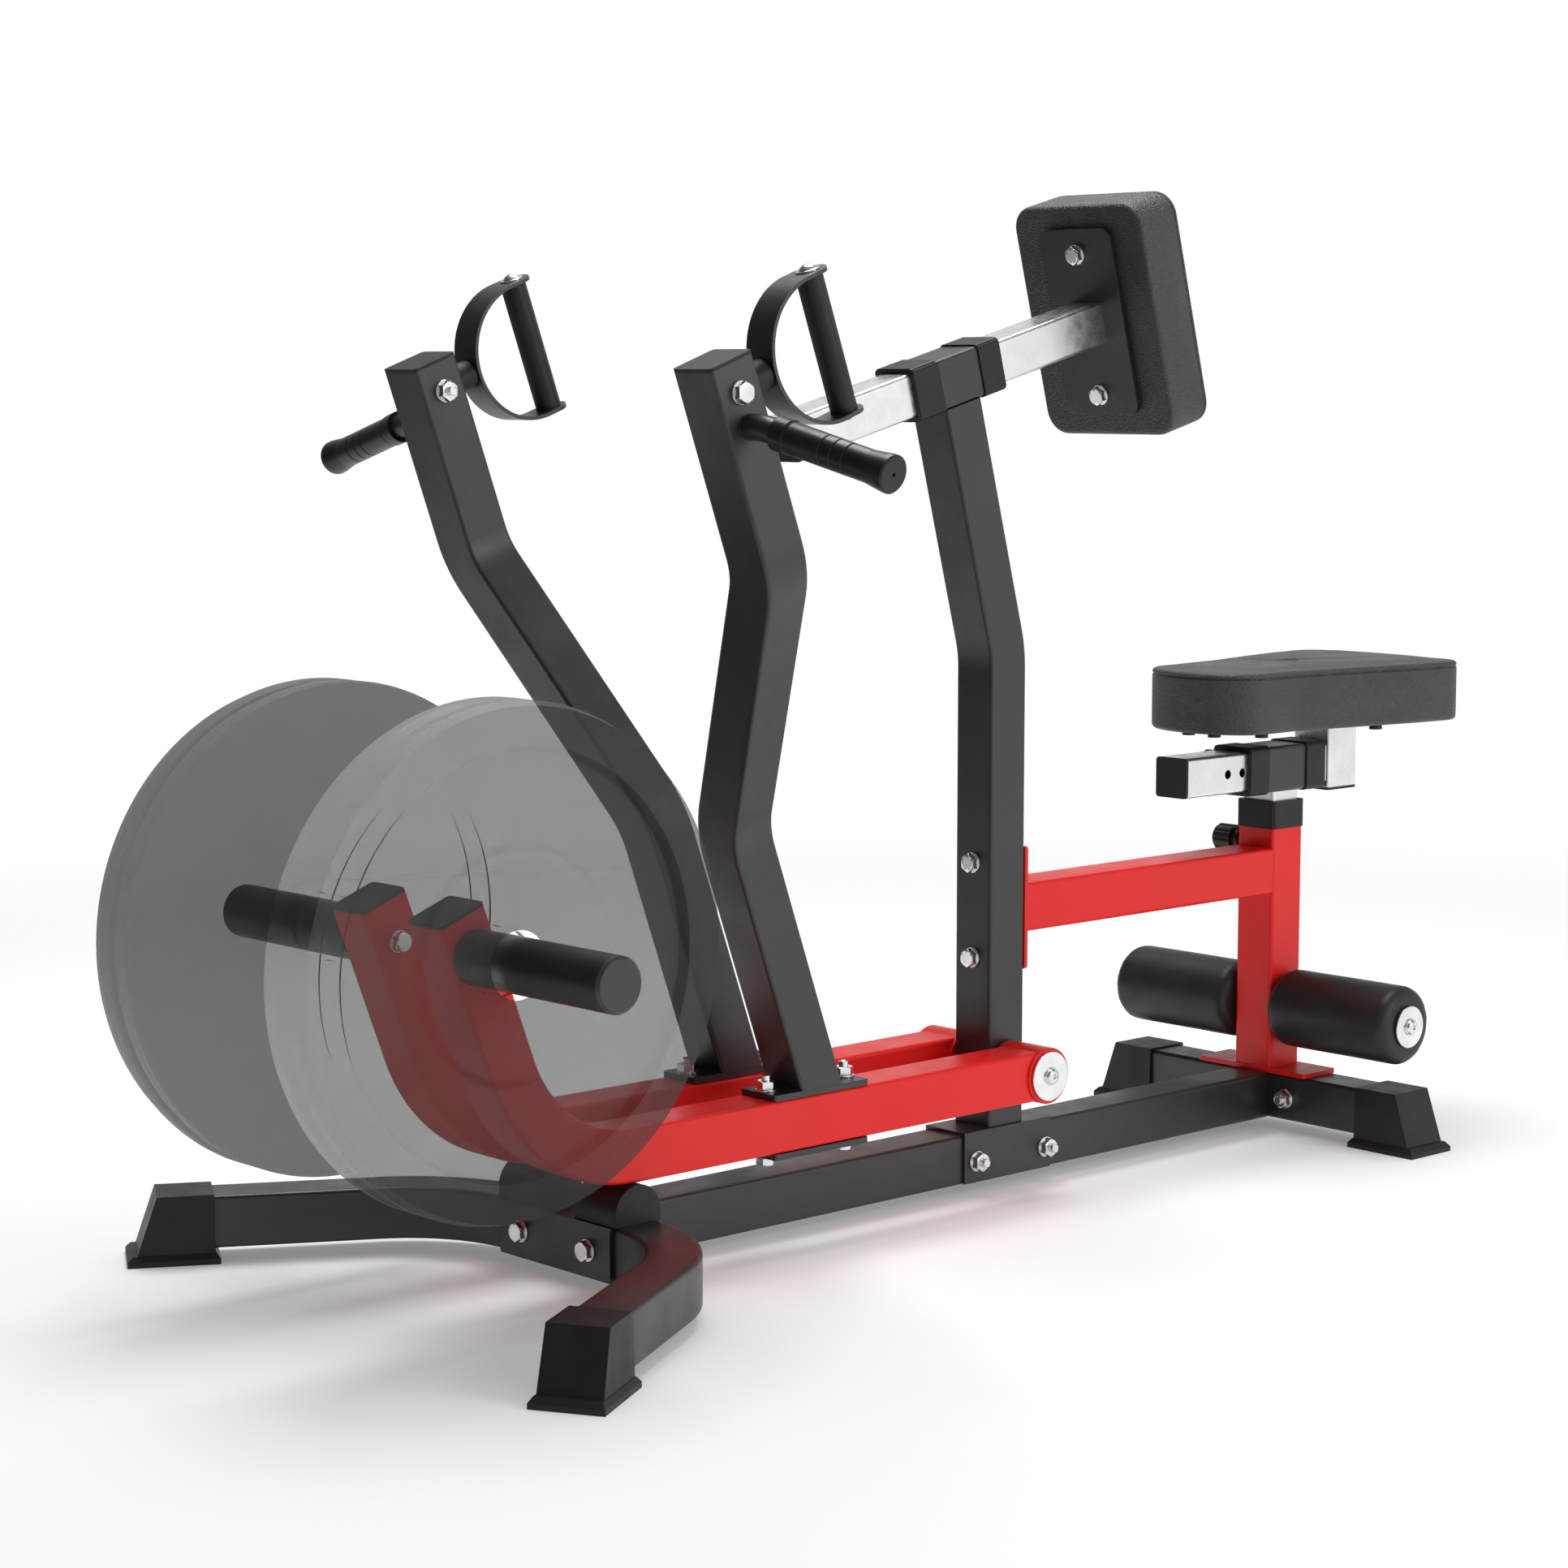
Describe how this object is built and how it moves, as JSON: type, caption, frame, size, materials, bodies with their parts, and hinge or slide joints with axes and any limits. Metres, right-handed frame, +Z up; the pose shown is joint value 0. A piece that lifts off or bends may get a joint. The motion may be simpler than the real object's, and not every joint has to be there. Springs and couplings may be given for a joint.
{
  "type": "plate-loaded lever row machine",
  "caption": "Seated row machine with independent plate-loaded levers, swivelling D-handles, side grips, sliding chest pad and adjustable seat.",
  "frame": {"origin": "on the floor, in the mirror plane, halfway along the whole machine", "axes": "+X from the weight plates towards the seat, +Y to the user's right, +Z up"},
  "size_m": [1.5851, 0.7954, 1.0106],
  "materials": {
    "black_steel": "satin black powder coat",
    "red_steel": "bright red powder coat",
    "zinc_steel": "bright zinc plate",
    "black_plastic": "fine matt texture",
    "grip_rubber": "smooth satin rubber",
    "roller_foam": "smooth foam skin",
    "black_leather": "fine grained",
    "see_through": "tinted, satin"
  },
  "bodies": {
    "frame": {"front_crossbar": "black_steel", "front_feet": "black_plastic", "front_plate": "black_steel", "lever_bumpers": "black_plastic", "main_beam": "black_steel", "rear_crossbar": "black_steel", "rear_feet": "black_plastic", "frame_bolts": "zinc_steel", "post_saddle": "black_steel", "mast": "black_steel", "mast_collars": "black_plastic", "link_beam": "red_steel", "seat_post": "red_steel", "seat_post_collar": "black_plastic", "roller_bar": "zinc_steel", "pivot_axle": "zinc_steel", "axle_washers": "zinc_steel"},
    "lever_left": {"lever_left": "red_steel", "weight_sleeve_left": "black_steel", "handle_arm_left": "black_steel", "arm_clamp_left": "black_steel", "end_caps_left": "black_plastic", "swivel_boss_left": "black_plastic", "side_grip_left": "grip_rubber", "lever_bolts_left": "zinc_steel"},
    "lever_right": {"lever_right": "red_steel", "weight_sleeve_right": "black_steel", "handle_arm_right": "black_steel", "arm_clamp_right": "black_steel", "end_caps_right": "black_plastic", "swivel_boss_right": "black_plastic", "side_grip_right": "grip_rubber", "lever_bolts_right": "zinc_steel"},
    "d_handle_left": {"d_strap_left": "black_steel", "d_grip_left": "black_plastic", "d_bolts_left": "zinc_steel"},
    "d_handle_right": {"d_strap_right": "black_steel", "d_grip_right": "black_plastic", "d_bolts_right": "zinc_steel"},
    "foam_roller_left": {"foam_roller_left": "roller_foam"},
    "foam_roller_right": {"foam_roller_right": "roller_foam"},
    "seat_lift": {"seat_inner_post": "zinc_steel", "slide_sleeve": "black_steel", "slide_collars": "black_plastic"},
    "seat_slide": {"slide_tube": "zinc_steel", "slide_caps": "black_plastic", "seat_pad": "black_leather", "seat_studs": "black_plastic"},
    "chest_slide": {"chest_tube": "zinc_steel", "chest_plate": "black_steel", "chest_cap": "black_plastic", "chest_pad": "black_leather", "chest_bolts": "zinc_steel"},
    "plate_left_inner": {"plate_left_inner": "see_through"},
    "plate_left_outer": {"plate_left_outer": "see_through"},
    "plate_right_inner": {"plate_right_inner": "see_through"},
    "plate_right_outer": {"plate_right_outer": "see_through"},
    "height_pin": {"height_pin": "black_plastic"},
    "slide_pin": {"slide_pin": "black_plastic"},
    "chest_pin": {"chest_pin": "black_plastic"}
  },
  "joints": [
    {"name": "lever_left_pivot", "type": "hinge", "parent": "frame", "child": "lever_left", "pos_m": [0.1485, -0.0565, 0.125], "axis": [0, 1, 0], "range_deg": [0, 45]},
    {"name": "d_handle_left_swivel", "type": "hinge", "parent": "lever_left", "child": "d_handle_left", "pos_m": [-0.39652, -0.20748, 0.80721], "axis": [0.9397, 0, 0.342], "range_deg": [-90, 90]},
    {"name": "foam_roller_left_spin", "type": "hinge", "parent": "frame", "child": "foam_roller_left", "pos_m": [0.5895, -0.11, 0.134], "axis": [0, 1, 0], "continuous": true},
    {"name": "plate_left_inner_slide", "type": "slide", "parent": "lever_left", "child": "plate_left_inner", "axis": [0, -1, 0], "range_m": [0, 0.2]},
    {"name": "plate_left_outer_slide", "type": "slide", "parent": "plate_left_inner", "child": "plate_left_outer", "axis": [0, -1, 0], "range_m": [0, 0.2]},
    {"name": "lever_right_pivot", "type": "hinge", "parent": "frame", "child": "lever_right", "pos_m": [0.1485, 0.0565, 0.125], "axis": [0, 1, 0], "range_deg": [0, 45]},
    {"name": "d_handle_right_swivel", "type": "hinge", "parent": "lever_right", "child": "d_handle_right", "pos_m": [-0.39652, 0.20748, 0.80721], "axis": [0.9397, 0, 0.342], "range_deg": [-90, 90]},
    {"name": "foam_roller_right_spin", "type": "hinge", "parent": "frame", "child": "foam_roller_right", "pos_m": [0.5895, 0.11, 0.134], "axis": [0, 1, 0], "continuous": true},
    {"name": "plate_right_inner_slide", "type": "slide", "parent": "lever_right", "child": "plate_right_inner", "axis": [0, 1, 0], "range_m": [0, 0.2]},
    {"name": "plate_right_outer_slide", "type": "slide", "parent": "plate_right_inner", "child": "plate_right_outer", "axis": [0, 1, 0], "range_m": [0, 0.2]},
    {"name": "seat_height", "type": "slide", "parent": "frame", "child": "seat_lift", "axis": [0, 0, 1], "range_m": [0, 0.125]},
    {"name": "seat_fore_aft", "type": "slide", "parent": "seat_lift", "child": "seat_slide", "axis": [1, 0, 0], "range_m": [0, 0.072]},
    {"name": "chest_pad_reach", "type": "slide", "parent": "frame", "child": "chest_slide", "axis": [0.9659, 0, 0.2588], "range_m": [-0.14, 0.14]},
    {"name": "height_pin_pull", "type": "slide", "parent": "frame", "child": "height_pin", "axis": [0, 1, 0], "range_m": [0, 0.01], "stiffness_N_per_m": 1500, "springref_m": -0.01},
    {"name": "slide_pin_pull", "type": "slide", "parent": "seat_lift", "child": "slide_pin", "axis": [0, 1, 0], "range_m": [0, 0.01], "stiffness_N_per_m": 1500, "springref_m": -0.01},
    {"name": "chest_pin_pull", "type": "slide", "parent": "frame", "child": "chest_pin", "axis": [0, 1, 0], "range_m": [0, 0.01], "stiffness_N_per_m": 1500, "springref_m": -0.01}
  ]
}
